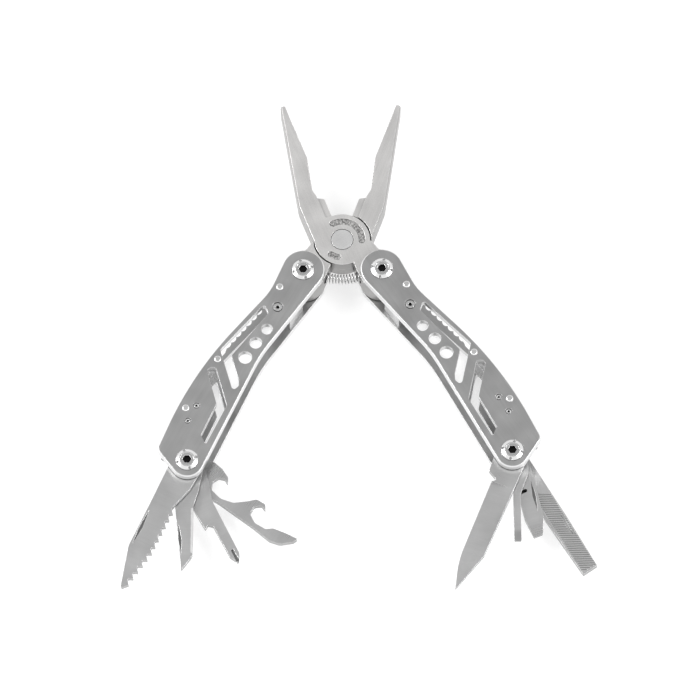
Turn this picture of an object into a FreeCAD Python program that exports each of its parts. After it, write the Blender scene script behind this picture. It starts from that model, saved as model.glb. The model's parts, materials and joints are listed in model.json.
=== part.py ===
import FreeCAD, Part
import math
import os
import Sketcher
from FreeCAD import Placement, Rotation, Vector

# Folding multi tool, lying flat and opened out.
# Frame: millimetres, +Z up, origin in the middle of the footprint, on the plane that the tool rests on.
# +Y runs up the middle line between the open jaws, +X to the right.
# Until the last step the origin is the jaw rivet's middle. Each half of the head and each handle is drawn
# in a frame of its own, then placed:
#   head frame:   the jaws closed, their meeting line on x = 0, the rivet at the origin
#   handle frame: x along the handle from the head pivot, y towards the other handle, z as the part's
#   tool frame:   x along the tool from its pivot, y towards its working edge
# The right handle is the mirror image of the left one, so everything in a handle takes a "hand":
# +1 for the left handle and -1 for the right one, which flips y.

doc = FreeCAD.newDocument("multi_tool")
sheet = doc.addObject("Spreadsheet::Sheet", "Sizes")

DRIVING_SIZES = [
    # name, value in millimetres or degrees, meaning
    ("handle_span", 91.0, "between a handle's two pivots"),
    ("handle_gap", 10.4, "between the inner faces of a handle's plates"),
    ("plate_thickness", 2.8, "each handle plate"),
    ("plate_bevel", 0.45, "bevel round a plate's outer face"),
    ("top_radius", 8.3, "round upper end of a handle"),
    ("bottom_radius", 6.5, "round lower end of a handle"),
    ("left_handle_angle", 29.6, "left handle from -Y, opened out"),
    ("right_handle_angle", 32.4, "right handle from -Y, opened out"),
    ("head_thickness", 9.2, "jaws and tangs"),
    ("lap_gap", 0.1, "between the two lapped discs"),
    ("disc_radius", 10.7, "lapped discs of the head"),
    ("disc_clearance", 0.6, "from a disc to the other half's shoulder"),
    ("jaw_length", 61.8, "rivet to jaw tip"),
    ("jaw_opening", 20.6, "each jaw from the middle line, opened out"),
    ("jaw_clearance", 0.05, "each closed jaw from the meeting line"),
    ("jaw_bevel", 0.5, "along a jaw's outer edge"),
    ("cutter_step", 1.0, "wire cutter below the jaw's face"),
    ("stamp_depth", 0.35, "sunken fields on the front disc"),
    ("tang_reach", 20.8, "rivet to handle pivot"),
    ("tang_angle", 26.4, "handle pivot from -Y with the jaws closed"),
    ("tang_radius", 7.6, "round end of a head tang"),
    ("tang_inner_gap", 0.6, "each closed tang from the meeting line"),
    ("rivet_head_radius", 4.4, "jaw rivet head"),
    ("rivet_head_depth", 1.0, "jaw rivet head, sunk in the disc"),
    ("rivet_bevel", 0.25, "round the jaw rivet's heads"),
    ("rivet_radius", 3.0, "jaw rivet shank"),
    ("running_gap", 0.04, "radial clearance of every pivot"),
    ("barrel_radius", 2.6, "handle pivot barrels"),
    ("barrel_bore", 1.6, "hole for the closing screw"),
    ("pivot_head_radius", 4.25, "heads of the pivot barrels and screws"),
    ("pivot_head_height", 1.4, "heads of the pivot barrels and screws"),
    ("pivot_rim_height", 0.75, "straight rim of a barrel's head, below its sloping ring"),
    ("pivot_ring_slope", 63.0, "sloping ring of a barrel's head, in degrees from upright"),
    ("pivot_dish_radius", 2.6, "dish in the middle of a barrel's head"),
    ("pivot_seat_depth", 0.5, "counterbore under a pivot head"),
    ("seat_gap", 0.15, "radial gap round a pivot head in its counterbore"),
    ("pivot_socket_radius", 1.75, "six-sided socket of a pivot, to its corners"),
    ("tool_thickness", 2.1, "each folding tool"),
    ("tool_pitch", 2.5, "between the middle planes of stacked tools"),
    ("tool_tang", 6.1, "round end of a tool"),
    ("washer_radius", 5.2, "washers between tools"),
    ("tool_washer_thickness", 0.3, "washers between tools"),
    ("head_washer_thickness", 0.5, "washers beside a head tang"),
    ("strip_thickness", 0.3, "lock springs and detent springs"),
    ("coil_radius", 1.75, "jaw spring, middle of the wire"),
    ("wire_radius", 0.25, "jaw spring wire"),
    ("spring_drop", 15.5, "rivet to the jaw spring's ends, along a closed tang"),
    ("spring_pocket_radius", 2.4, "blind hole for each spring end"),
    ("spring_pocket_depth", 2.5, "blind hole for each spring end"),
    ("dome_radius", 1.4, "domed rivets"),
    ("dome_height", 0.55, "domed rivets"),
    ("stem_radius", 0.7, "stems of small rivets and screws"),
    ("counterbore_depth", 1.1, "sunk small screws"),
    ("socket_screw_radius", 1.6, "head of the screw below the head pivot"),
    ("socket_screw_seat", 2.1, "counterbore of the screw below the head pivot"),
    ("tiny_screw_radius", 0.95, "heads of the lock spring screws"),
    ("tiny_screw_seat", 1.25, "counterbores of the lock spring screws"),
    ("spacer_pin_radius", 0.8, "pins through the spacer block"),
    ("spacer_pin_depth", 1.4, "how far a spacer pin runs into a plate"),
    ("pin_end_gap", 0.1, "beyond each end of a spacer pin"),
    ("stripe_depth", 0.15, "file cuts"),
    ("nick_depth", 0.6, "grooves for a fingernail"),
    ("flute_depth", 0.65, "flutes of the cross point"),
]

for row, (alias, value, meaning) in enumerate(DRIVING_SIZES, start=1):
    sheet.set(f"A{row}", alias)
    sheet.set(f"B{row}", str(value))
    sheet.setAlias(f"B{row}", alias)
    sheet.set(f"C{row}", meaning)
doc.recompute()


def size(alias):
    """Read one driving size from the sheet."""
    return float(sheet.get(alias))


# ---------------------------------------------------------------- sizes that follow from the driving ones

INNER_Z = size("handle_gap") / 2
OUTER_Z = INNER_Z + size("plate_thickness")
HEAD_Z = size("head_thickness") / 2
SPAN = size("handle_span")
DISC_SPACE = size("disc_radius") + size("disc_clearance")
SPRING_Y = -size("spring_drop")
DOWN = 270.0


# ---------------------------------------------------------------- helpers for sketches and features

def polar(radius, degrees):
    """Point at a distance and a direction from the origin."""
    return Vector(radius * math.cos(math.radians(degrees)), radius * math.sin(math.radians(degrees)), 0)


def new_body(label):
    """Start a sub-part: an empty body with its label."""
    body = doc.addObject("PartDesign::Body", label)
    body.Label = label
    return body


def new_sketch(body, height="0", role="XY_Plane"):
    """Sketch on one of the body's own origin planes, lifted by an expression."""
    plane = next(item for item in body.Origin.OriginFeatures if item.Role == role)
    sketch = body.newObject("Sketcher::SketchObject", f"{body.Name}_sketch")
    sketch.AttachmentSupport = [(plane, "")]
    sketch.MapMode = "FlatFace"
    sketch.setExpression("AttachmentOffset.Base.z", height)
    return sketch


def rounded_corner(before, corner, after, radius):
    """Start, middle and end of the arc that rounds one corner, or the bare corner itself."""
    if radius == 0:
        return corner, None, corner
    to_before = (before - corner).normalize()
    to_after = (after - corner).normalize()
    half_angle = to_before.getAngle(to_after) / 2
    back_off = radius / math.tan(half_angle)
    bisector = (to_before + to_after).normalize()
    middle = corner + bisector * (radius / math.sin(half_angle) - radius)
    return corner + to_before * back_off, middle, corner + to_after * back_off


def outline_edges(corners, hand=1):
    """Closed outline from (x, y, corner radius): straight lines joined by round corners."""
    points = [Vector(x, y * hand, 0) for x, y, _ in corners]
    arcs = []
    for index, (_, _, radius) in enumerate(corners):
        after = points[(index + 1) % len(points)]
        arcs.append(rounded_corner(points[index - 1], points[index], after, radius))
    edges = []
    for index, (start, middle, end) in enumerate(arcs):
        if middle is not None:
            edges.append(Part.Arc(start, middle, end))
        following = (index + 1) % len(arcs)
        straight = arcs[following][0] - end
        if straight.dot(points[following] - points[index]) < -1e-6:
            raise ValueError(f"corners {corners[index]} and {corners[following]} overlap")
        if straight.Length > 1e-5:
            edges.append(Part.LineSegment(end, arcs[following][0]))
    return edges


def round_end(radius, below, above):
    """Two corners that close an outline on the left with a half circle about the origin.

    below and above are the corners that the half circle's two ends run on to.
    """
    corners = []
    for x, y, side in ((below[0], below[1], -1), (above[0], above[1], 1)):
        distance = math.hypot(x, y)
        slope = math.atan2(-y, -x) - side * math.asin(radius / distance)
        corners.append((-radius, y - (radius + x) * math.tan(slope), radius))
    return corners


def add_hexagon(sketch, x, y, radius):
    """Draw a six-sided socket from its corner radius."""
    corners = [polar(radius, 60 * side) for side in range(6)]
    add_outline(sketch, [(x + corner.x, y + corner.y, 0) for corner in corners])


def add_outline(sketch, corners, hand=1):
    """Draw a closed outline and lock it in place."""
    for edge in outline_edges(corners, hand):
        index = sketch.addGeometry(edge)
        sketch.addConstraint(Sketcher.Constraint("Block", index))


def add_circle(sketch, x, y, radius):
    """Draw a circle whose radius is an expression, at a fixed place."""
    index = sketch.addGeometry(Part.Circle(Vector(x, y, 0), Vector(0, 0, 1), 1))
    sketch.addConstraint(Sketcher.Constraint("DistanceX", -1, 1, index, 3, x))
    sketch.addConstraint(Sketcher.Constraint("DistanceY", -1, 1, index, 3, y))
    constraint = sketch.addConstraint(Sketcher.Constraint("Radius", index, 1))
    sketch.setExpression(f"Constraints[{constraint}]", radius)


def extrude(body, sketch, length, up=True):
    """Add material: pad a sketch by an expression, up or down."""
    pad = body.newObject("PartDesign::Pad", f"{body.Name}_pad")
    pad.Profile = sketch
    pad.setExpression("Length", length)
    pad.Reversed = not up
    return pad


def cut(body, sketch, length, up=False):
    """Remove material: pocket a sketch by an expression, down or up, and check that it cut."""
    doc.recompute()
    before = body.Shape.Volume
    pocket = body.newObject("PartDesign::Pocket", f"{body.Name}_pocket")
    pocket.Profile = sketch
    pocket.setExpression("Length", length)
    pocket.Reversed = up
    doc.recompute()
    if body.Shape.Volume > before - 1e-4:
        raise RuntimeError(f"{pocket.Name} removed nothing")
    return pocket


def bevel(body, amount, chosen):
    """Chamfer every edge of the tip that the test accepts."""
    doc.recompute()
    tip = body.Tip
    names = [f"Edge{number}" for number, edge in enumerate(tip.Shape.Edges, start=1) if chosen(edge)]
    chamfer = body.newObject("PartDesign::Chamfer", f"{body.Name}_bevel")
    chamfer.Base = (tip, names)
    chamfer.setExpression("Size", amount)
    doc.recompute()
    if not chamfer.isValid():
        raise RuntimeError(f"{chamfer.Name} failed")


def at_height(height):
    """Test for edges that lie flat at one height."""
    def test(edge):
        box = edge.BoundBox
        return abs(box.ZMin - height) < 1e-4 and abs(box.ZMax - height) < 1e-4
    return test


def place(body, position, degrees):
    """Put a finished sub-part in the tool's frame."""
    body.Placement = Placement(position, Rotation(Vector(0, 0, 1), degrees))


# ---------------------------------------------------------------- the pliers head

def arc_slot(sketch, mean_radius, half_width, start, end):
    """Banana-shaped outline about the origin between two directions in degrees."""
    for radius in (mean_radius - half_width, mean_radius + half_width):
        circle = Part.Circle(Vector(0, 0, 0), Vector(0, 0, 1), radius)
        edge = Part.ArcOfCircle(circle, math.radians(start), math.radians(end))
        sketch.addConstraint(Sketcher.Constraint("Block", sketch.addGeometry(edge)))
    for direction, outward in ((start, -1), (end, 1)):
        inner = polar(mean_radius - half_width, direction)
        outer = polar(mean_radius + half_width, direction)
        along = polar(half_width * outward, direction + 90)
        cap = Part.Arc(inner, (inner + outer) * 0.5 + along, outer)
        sketch.addConstraint(Sketcher.Constraint("Block", sketch.addGeometry(cap)))


def jaw_corners(side):
    """Outline of one jaw in the head frame: side is -1 for the left jaw and +1 for the right one."""
    meeting = size("jaw_clearance")
    base = size("disc_radius")
    tip = size("jaw_length")
    half = [
        (meeting + 0.5, tip, 0),
        (meeting, tip - 0.6, 0),
        (meeting, 37.5, 2),         # end of the flat nose
        (3.2, 23.8, 3),             # bottom of the pipe grip
        (2.5, 20.3, 0.8),
        (meeting, 19.0, 0.5),       # start of the wire cutter
        (meeting, 2.0, 0),
        (4.0, -5.0, 0),             # hidden in the disc
        (base - 0.1, -1.5, 0),
        (base, 19.0, 14),           # shoulder into the long taper
        (1.95, tip - 0.1, 0.9),
    ]
    return [(x * side, y, radius) for x, y, radius in half]


def tang_corners(side):
    """Outline of one tang in the head frame: side is the side of the rivet that it is on."""
    gap = size("tang_inner_gap")
    end = size("tang_radius")
    pivot = tang_pivot(1)
    half = [
        (gap, -6.0, 0),
        (gap, -15.0, 2),
        (pivot.x - end, pivot.y - end, end),
        (pivot.x + end, pivot.y - end, end),
        (pivot.x + end, pivot.y + 3.0, 4),
        (11.5, -8.6, 0.8),
        (10.3, -4.6, 0.4),
        (6.0, -3.0, 0),
    ]
    return [(x * side, y, radius) for x, y, radius in half]


def tang_pivot(side):
    """Handle pivot in the head frame, on the side given."""
    point = polar(size("tang_reach"), DOWN + size("tang_angle"))
    return Vector(point.x * side, point.y, 0)


def notch_corners(x, y, depth, pitch, lean, side):
    """Small triangular notch cut into a jaw's inner edge, which leans off the meeting line."""
    return [
        ((x - 0.6) * side, y - pitch * 0.45 - 0.6 * lean, 0),
        ((x - 0.6) * side, y + pitch * 0.45 - 0.6 * lean, 0),
        ((x + depth) * side, y, 0),
    ]


def cut_serrations(body, side):
    """Fine teeth on the flat nose and coarse teeth in the pipe grip."""
    sketch = new_sketch(body, "Sizes.head_thickness / 2")
    fine_pitch = 1.15
    fine_count = 17
    for number in range(fine_count):
        y = 39.0 + number * fine_pitch
        add_outline(sketch, notch_corners(size("jaw_clearance"), y, 0.28, fine_pitch, 0, side))
    coarse_pitch = 1.45
    coarse_count = 7
    grip_slope = 3.15 / 13.7
    for number in range(coarse_count):
        y = 26.4 + number * coarse_pitch
        x = 3.2 - (y - 23.8) * grip_slope
        add_outline(sketch, notch_corners(x, y, 0.45, coarse_pitch, grip_slope, side))
    cut(body, sketch, "Sizes.head_thickness")


def jaw_half(label, side):
    """Half of the head: jaw on one side, lapped disc, tang on the other side.

    side is the jaw's side. The left jaw's half has its disc in front (+Z), the right jaw's behind.
    """
    body = new_body(label)
    front = side < 0
    jaw = new_sketch(body, "-Sizes.head_thickness / 2")
    add_outline(jaw, jaw_corners(side))
    extrude(body, jaw, "Sizes.head_thickness")

    def outer_taper(edge):
        box = edge.BoundBox
        flat = abs(box.ZMax - box.ZMin) < 1e-4
        return flat and box.YLength > 30 and abs(box.Center.x) > 3
    bevel(body, "Sizes.jaw_bevel", outer_taper)
    tang = new_sketch(body, "-Sizes.head_thickness / 2")
    add_outline(tang, tang_corners(-side))
    extrude(body, tang, "Sizes.head_thickness")

    # Room for the other half's disc, then this half's own disc.
    lap_face = "Sizes.lap_gap / 2" if front else "-Sizes.lap_gap / 2"
    lap = new_sketch(body, lap_face)
    add_circle(lap, 0, 0, "Sizes.disc_radius + Sizes.disc_clearance")
    cut(body, lap, "Sizes.head_thickness", up=not front)
    disc = new_sketch(body, lap_face)
    add_circle(disc, 0, 0, "Sizes.disc_radius")
    extrude(body, disc, "(Sizes.head_thickness - Sizes.lap_gap) / 2", up=front)

    # Hole for the rivet, with a seat for its head.
    outer_face = "Sizes.head_thickness / 2" if front else "-Sizes.head_thickness / 2"
    hole = new_sketch(body, outer_face)
    add_circle(hole, 0, 0, "Sizes.rivet_radius + Sizes.running_gap")
    cut(body, hole, "Sizes.head_thickness", up=not front)
    seat = new_sketch(body, outer_face)
    add_circle(seat, 0, 0, "Sizes.rivet_head_radius + Sizes.running_gap")
    cut(body, seat, "Sizes.rivet_head_depth", up=not front)

    # Bore for the handle's pivot barrel.
    pivot = tang_pivot(-side)
    bore = new_sketch(body, "Sizes.head_thickness / 2")
    add_circle(bore, pivot.x, pivot.y, "Sizes.barrel_radius + Sizes.running_gap")
    cut(body, bore, "Sizes.head_thickness")

    # Blind hole for the end of the jaw spring, in the tang's inner face.
    pocket = new_sketch(body, f"{-side} * Sizes.tang_inner_gap", role="YZ_Plane")
    add_circle(pocket, SPRING_Y, 0, "Sizes.spring_pocket_radius")
    cut(body, pocket, "Sizes.spring_pocket_depth", up=side < 0)

    # Wire cutter: both faces of the jaw step down beside the cutting edge.
    cutter_start, cutter_end = 10.9, 21.5
    cutter_width = 2.6
    for face, up in (("Sizes.head_thickness / 2", False), ("-Sizes.head_thickness / 2", True)):
        step = new_sketch(body, face)
        add_outline(step, [
            (-cutter_width * side, cutter_start, 0),
            (cutter_width * side, cutter_start, 0.6),
            (cutter_width * side, cutter_end, 0),
            (-cutter_width * side, cutter_end, 0),
        ])
        cut(body, step, "Sizes.cutter_step", up=up)
    cut_serrations(body, side)
    if front:
        marks = new_sketch(body, "Sizes.head_thickness / 2")
        turned = size("jaw_opening")
        arc_slot(marks, 7.6, 1.3, -4 - turned, 118 - turned)
        arc_slot(marks, 7.7, 1.3, 235 - turned, 256 - turned)
        cut(body, marks, "Sizes.stamp_depth")
    place(body, Vector(0, 0, 0), -side * size("jaw_opening"))
    return body


def jaw_rivet():
    """Rivet through both discs, its two heads sunk flush and ringed by a fine bevel."""
    body = new_body("jaw_rivet")
    shank = new_sketch(body, "-Sizes.head_thickness / 2")
    add_circle(shank, 0, 0, "Sizes.rivet_radius")
    extrude(body, shank, "Sizes.head_thickness")
    for face, up in (("Sizes.head_thickness / 2", False), ("-Sizes.head_thickness / 2", True)):
        head = new_sketch(body, face)
        add_circle(head, 0, 0, "Sizes.rivet_head_radius")
        extrude(body, head, "Sizes.rivet_head_depth - Sizes.running_gap", up=up)
    bevel(body, "Sizes.rivet_bevel", lambda edge: at_height(HEAD_Z)(edge) or at_height(-HEAD_Z)(edge))
    return body


def jaw_spring():
    """Coil spring bent in an arc between the two tangs, which pushes the jaws open."""
    opening = math.radians(size("jaw_opening"))
    face = size("tang_inner_gap")
    seat_depth = size("spring_pocket_depth") - 0.3
    reach = face + seat_depth
    end_x = reach * math.cos(opening) - SPRING_Y * math.sin(opening)
    end_y = reach * math.sin(opening) + SPRING_Y * math.cos(opening)
    bend_radius = end_x / math.sin(opening)
    bend_centre_y = end_y + bend_radius * math.cos(opening)
    turns = 14
    steps_per_turn = 12
    points = []
    for step in range(turns * steps_per_turn + 1):
        share = step / (turns * steps_per_turn)
        swing = (2 * share - 1) * opening
        wind = 2 * math.pi * turns * share
        out = bend_radius + size("coil_radius") * math.cos(wind)
        points.append(Vector(out * math.sin(swing), bend_centre_y - out * math.cos(swing),
                             size("coil_radius") * math.sin(wind)))
    path = Part.BSplineCurve()
    path.interpolate(points)
    wire = Part.Wire([path.toShape()])
    section = Part.Wire([Part.makeCircle(size("wire_radius"), points[0], path.tangent(0)[0])])
    spring = doc.addObject("Part::Feature", "jaw_spring")
    spring.Label = "jaw_spring"
    spring.Shape = wire.makePipeShell([section], True, True)
    spring.Placement = Placement()
    return spring


# ---------------------------------------------------------------- the handles

PLATE_SIDES = [
    # along the handle, across it, corner radius
    (39.2, 3.3, 60),          # hollow of the inner edge
    (101.7, 7.5, size("bottom_radius")),
    (92.8, -12.4, 3),
    (58.9, -16.2, 150),       # long belly of the outer edge
    (14.0, -7.0, 25),         # waist of the outer edge
]

REAR_OUTER_CORNER = (88.2, -12.7, 3)      # a rear plate is cut back here

GRIP_RIB = [
    (15.0, -6.6, 0),
    (38.0, -10.9, 0),
    (41.5, -12.2, 0.5),
    (37.0, -12.75, 1.5),      # the scallops run between these last two corners
    (17.0, -8.7, 1.5),
]

SHORT_SLOT = [
    (19.9, -5.9, 0.8),
    (22.6, -2.7, 0.8),
    (45.0, -6.4, 1.0),
    (52.2, 0.8, 1.2),
    (54.7, 2.2, 1.0),
    (57.6, 1.3, 1.0),
    (44.9, -11.4, 1.5),
]

# A rear plate has one wide window where its front plate has the short slot and three round holes.
REAR_WINDOW = [
    (19.9, -5.9, 0.8),
    (22.2, -0.9, 1.5),
    (41.0, -1.6, 3),
    (50.5, 0.9, 1.5),
    (54.7, 2.2, 1.0),
    (57.6, 1.3, 1.0),
    (44.9, -11.4, 1.5),
]

LONG_SLOT = [
    (54.3, -12.1, 1.7),
    (65.2, -1.6, 1.5),
    (79.5, -0.4, 1.0),
    (82.2, 3.2, 0.5),
    (63.9, 2.2, 1.2),
    (51.8, -9.6, 1.7),
]

ROUND_HOLES = [(28.7, 0.1, 2.2), (35.8, -0.9, 2.4), (43.1, -1.4, 2.6)]
DOME_PLACES = [(10.75, -4.25), (48.8, -10.3), (72.5, -11.0)]
SOCKET_SCREW_PLACE = (18.5, -0.9)
TINY_SCREW_PLACES = [(69.6, -7.9), (76.7, -7.75)]
SPACER_PIN_PLACES = [(12.3, 3.9), (16.3, 3.9)]


def handle_direction(hand):
    """Direction of a handle's x axis, in degrees from +X."""
    return DOWN - size("left_handle_angle") if hand > 0 else DOWN + size("right_handle_angle")


def handle_pivot(hand):
    """Head pivot of a handle with the jaws open."""
    return polar(size("tang_reach"), DOWN - hand * (size("tang_angle") + size("jaw_opening")))


def place_in_handle(body, hand):
    """Move a body from the handle frame to its place on the left or right handle."""
    place(body, handle_pivot(hand), handle_direction(hand))


def handle_plate(label, hand, front):
    """One side plate of a handle, with its slots, holes and seats."""
    outer = "(Sizes.handle_gap / 2 + Sizes.plate_thickness)"
    face = outer if front else f"-{outer}"
    body = new_body(label)
    blank = new_sketch(body, face)
    upper_end = round_end(size("top_radius"), PLATE_SIDES[-1], PLATE_SIDES[0])
    lower_end = PLATE_SIDES[:2] + [PLATE_SIDES[2] if front else REAR_OUTER_CORNER]
    add_outline(blank, lower_end + PLATE_SIDES[3:] + upper_end, hand)
    extrude(body, blank, "Sizes.plate_thickness", up=not front)
    bevel(body, "Sizes.plate_bevel", at_height(OUTER_Z if front else -OUTER_Z))
    if not front:
        rib = new_sketch(body, face)
        add_outline(rib, GRIP_RIB, hand)
        extrude(body, rib, "Sizes.plate_thickness", up=True)
        cut_finger_grips(body, face, hand)

    windows = new_sketch(body, face)
    add_outline(windows, LONG_SLOT, hand)
    add_outline(windows, SHORT_SLOT if front else REAR_WINDOW, hand)
    for x, y, radius in ROUND_HOLES if front else []:
        add_circle(windows, x, y * hand, str(radius))
    cut(body, windows, "Sizes.plate_thickness", up=not front)

    holes = new_sketch(body, face)
    for x in (0, SPAN):
        add_circle(holes, x, 0, "Sizes.barrel_radius + Sizes.running_gap")
    for x, y in DOME_PLACES + [SOCKET_SCREW_PLACE] + TINY_SCREW_PLACES:
        add_circle(holes, x, y * hand, "Sizes.stem_radius + Sizes.running_gap")
    cut(body, holes, "Sizes.plate_thickness", up=not front)
    seats = new_sketch(body, face)
    for x in (0, SPAN):
        add_circle(seats, x, 0, "Sizes.pivot_head_radius + Sizes.seat_gap")
    cut(body, seats, "Sizes.pivot_seat_depth", up=not front)
    counterbores = new_sketch(body, face)
    add_circle(counterbores, SOCKET_SCREW_PLACE[0], SOCKET_SCREW_PLACE[1] * hand, "Sizes.socket_screw_seat")
    for x, y in TINY_SCREW_PLACES:
        add_circle(counterbores, x, y * hand, "Sizes.tiny_screw_seat")
    cut(body, counterbores, "Sizes.counterbore_depth", up=not front)

    # Blind holes for the spacer's pins, in the inner face.
    inner = "Sizes.handle_gap / 2" if front else "-Sizes.handle_gap / 2"
    blind = new_sketch(body, inner)
    for x, y in SPACER_PIN_PLACES:
        add_circle(blind, x, y * hand, "Sizes.spacer_pin_radius + Sizes.running_gap")
    cut(body, blind, "Sizes.spacer_pin_depth + Sizes.pin_end_gap", up=front)
    place_in_handle(body, hand)
    return body


def cut_finger_grips(body, face, hand):
    """Row of shallow scallops along the straight part of the outer edge."""
    scallops = new_sketch(body, face)
    (end_x, end_y, _), (start_x, start_y, _) = GRIP_RIB[-2:]
    slope = (end_y - start_y) / (end_x - start_x)
    first_x = 18.6
    pitch = 3.0
    count = 7
    radius = 1.7
    depth = 0.75
    for number in range(count):
        x = first_x + number * pitch
        edge_y = start_y + slope * (x - start_x)
        add_circle(scallops, x, (edge_y - radius + depth) * hand, str(radius))
    cut(body, scallops, "Sizes.plate_thickness", up=True)


def pivot_barrel(label, hand, x):
    """Barrel that a tang or the tools turn on, with a slotted ring head at the front."""
    closed_end = 1.0
    dish_depth = 0.15
    socket_depth = 1.2
    notch_radius = 0.6
    notch_depth = 0.7
    notch_circle = size("pivot_head_radius") - 0.5
    body = new_body(label)
    head_base = "Sizes.handle_gap / 2 + Sizes.plate_thickness - Sizes.pivot_seat_depth"
    tube = new_sketch(body, f"-({head_base})")
    add_circle(tube, x, 0, "Sizes.barrel_radius")
    extrude(body, tube, f"2 * ({head_base})")
    rim = new_sketch(body, head_base)
    add_circle(rim, x, 0, "Sizes.pivot_head_radius")
    extrude(body, rim, "Sizes.pivot_rim_height")
    ring = new_sketch(body, f"{head_base} + Sizes.pivot_rim_height")
    add_circle(ring, x, 0, "Sizes.pivot_head_radius")
    cone = extrude(body, ring, "Sizes.pivot_head_height - Sizes.pivot_rim_height")
    cone.setExpression("TaperAngle", "-Sizes.pivot_ring_slope")

    bore = new_sketch(body, f"-({head_base})")
    add_circle(bore, x, 0, "Sizes.barrel_bore")
    cut(body, bore, f"2 * ({head_base}) - {closed_end}", up=True)

    # Shallow dish with the six-sided socket in it; four notches in the sloping ring.
    head_top = f"{head_base} + Sizes.pivot_head_height"
    dish = new_sketch(body, head_top)
    add_circle(dish, x, 0, "Sizes.pivot_dish_radius")
    cut(body, dish, str(dish_depth))
    socket = new_sketch(body, head_top)
    add_hexagon(socket, x, 0, size("pivot_socket_radius"))
    cut(body, socket, str(socket_depth))
    notches = new_sketch(body, head_top)
    for quarter in range(4):
        middle = polar(notch_circle, 45 + 90 * quarter)
        add_circle(notches, x + middle.x, middle.y, str(notch_radius))
    cut(body, notches, str(notch_depth))
    place_in_handle(body, hand)
    return body


def pivot_screw(label, hand, x):
    """Screw that closes a pivot barrel from behind; its flat head is a foot of the tool."""
    rim_bevel = 0.35
    socket_depth = 0.9
    stop_short = 2.0                # so that the shank clears the barrel's closed end
    body = new_body(label)
    head_base = "Sizes.handle_gap / 2 + Sizes.plate_thickness - Sizes.pivot_seat_depth"
    head = new_sketch(body, f"-({head_base})")
    add_circle(head, x, 0, "Sizes.pivot_head_radius")
    extrude(body, head, "Sizes.pivot_head_height", up=False)
    bottom = size("pivot_seat_depth") - OUTER_Z - size("pivot_head_height")
    bevel(body, str(rim_bevel), at_height(bottom))
    socket = new_sketch(body, f"-({head_base} + Sizes.pivot_head_height)")
    add_hexagon(socket, x, 0, size("pivot_socket_radius"))
    cut(body, socket, str(socket_depth), up=True)
    shank = new_sketch(body, f"-({head_base})")
    add_circle(shank, x, 0, "Sizes.barrel_bore - Sizes.running_gap")
    extrude(body, shank, f"2 * ({head_base}) - {stop_short}")
    place_in_handle(body, hand)
    return body


def washers(label, hand, x, heights, thickness):
    """Flat washers round a barrel, one at each height."""
    body = new_body(label)
    for height in heights:
        ring = new_sketch(body, f"{height} - {thickness} / 2")
        add_circle(ring, x, 0, "Sizes.washer_radius")
        add_circle(ring, x, 0, "Sizes.barrel_radius + Sizes.running_gap")
        extrude(body, ring, thickness)
    place_in_handle(body, hand)
    return body


def spacer_block(label, hand):
    """Laminated block between the plates, four leaves, that the folded tools rest against."""
    corners = [(9.2, 5.3, 0.5), (10.8, 2.5, 0.5), (16.9, 2.5, 0.3), (20.2, 5.3, 0.3)]
    leaves = 4
    slit = 0.12
    body = new_body(label)
    pitch = f"(Sizes.handle_gap / {leaves})"
    for number in range(leaves):
        leaf = new_sketch(body, f"{number - leaves / 2} * {pitch} + {slit} / 2")
        add_outline(leaf, corners, hand)
        for x, y in SPACER_PIN_PLACES:
            add_circle(leaf, x, y * hand, "Sizes.spacer_pin_radius + Sizes.running_gap")
        extrude(body, leaf, f"{pitch} - {slit}")
    place_in_handle(body, hand)
    return body


def spacer_pins(label, hand):
    """Two pins that run through the spacer block into both plates."""
    body = new_body(label)
    pins = new_sketch(body, "-(Sizes.handle_gap / 2 + Sizes.spacer_pin_depth)")
    for x, y in SPACER_PIN_PLACES:
        add_circle(pins, x, y * hand, "Sizes.spacer_pin_radius")
    extrude(body, pins, "Sizes.handle_gap + 2 * Sizes.spacer_pin_depth")
    place_in_handle(body, hand)
    return body


DETENT_STRIP = [
    (8.6, -6.2, 1.2),
    (14.0, -5.4, 3),
    (21.0, -1.9, 1.2),
    (20.2, 1.3, 1.4),
    (8.2, -2.2, 1.4),
]

LOCK_STRIP = [
    (46.6, -12.5, 1.0),
    (58.5, -13.9, 40),
    (72.0, -14.0, 40),
    (91.2, -11.9, 0.5),
    (91.2, -9.6, 0.5),
    (83.0, -9.4, 2),
    (79.2, -6.2, 1.5),
    (67.0, -6.2, 1.5),
    (62.0, -10.2, 3),
    (46.6, -8.6, 1.0),
]


def strip_base(front):
    """Height of the side of a spring strip that lies on its plate, and whether it grows upwards."""
    return ("Sizes.handle_gap / 2", False) if front else ("-Sizes.handle_gap / 2", True)


def lock_spring(label, hand, front):
    """Thin strip on a plate's inner face, with a tab bent in across the backs of the tools."""
    body = new_body(label)
    base, up = strip_base(front)
    strip = new_sketch(body, base)
    add_outline(strip, LOCK_STRIP, hand)
    for x, y in DOME_PLACES[1:] + TINY_SCREW_PLACES:
        add_circle(strip, x, y * hand, "Sizes.stem_radius + Sizes.running_gap")
    extrude(body, strip, "Sizes.strip_thickness", up=up)
    tab = new_sketch(body, base)
    add_outline(tab, [(87.4, -10.6, 0), (91.2, -10.2, 0), (91.2, -9.75, 0), (87.4, -10.1, 0)], hand)
    extrude(body, tab, "Sizes.handle_gap / 2 - 0.15", up=up)
    place_in_handle(body, hand)
    return body


def detent_spring(label, hand, front):
    """Thin strip beside the head tang that holds the handle at its stops."""
    body = new_body(label)
    base, up = strip_base(front)
    strip = new_sketch(body, base)
    add_outline(strip, DETENT_STRIP, hand)
    for x, y in [DOME_PLACES[0], SOCKET_SCREW_PLACE]:
        add_circle(strip, x, y * hand, "Sizes.stem_radius + Sizes.running_gap")
    extrude(body, strip, "Sizes.strip_thickness", up=up)
    place_in_handle(body, hand)
    return body


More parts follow.
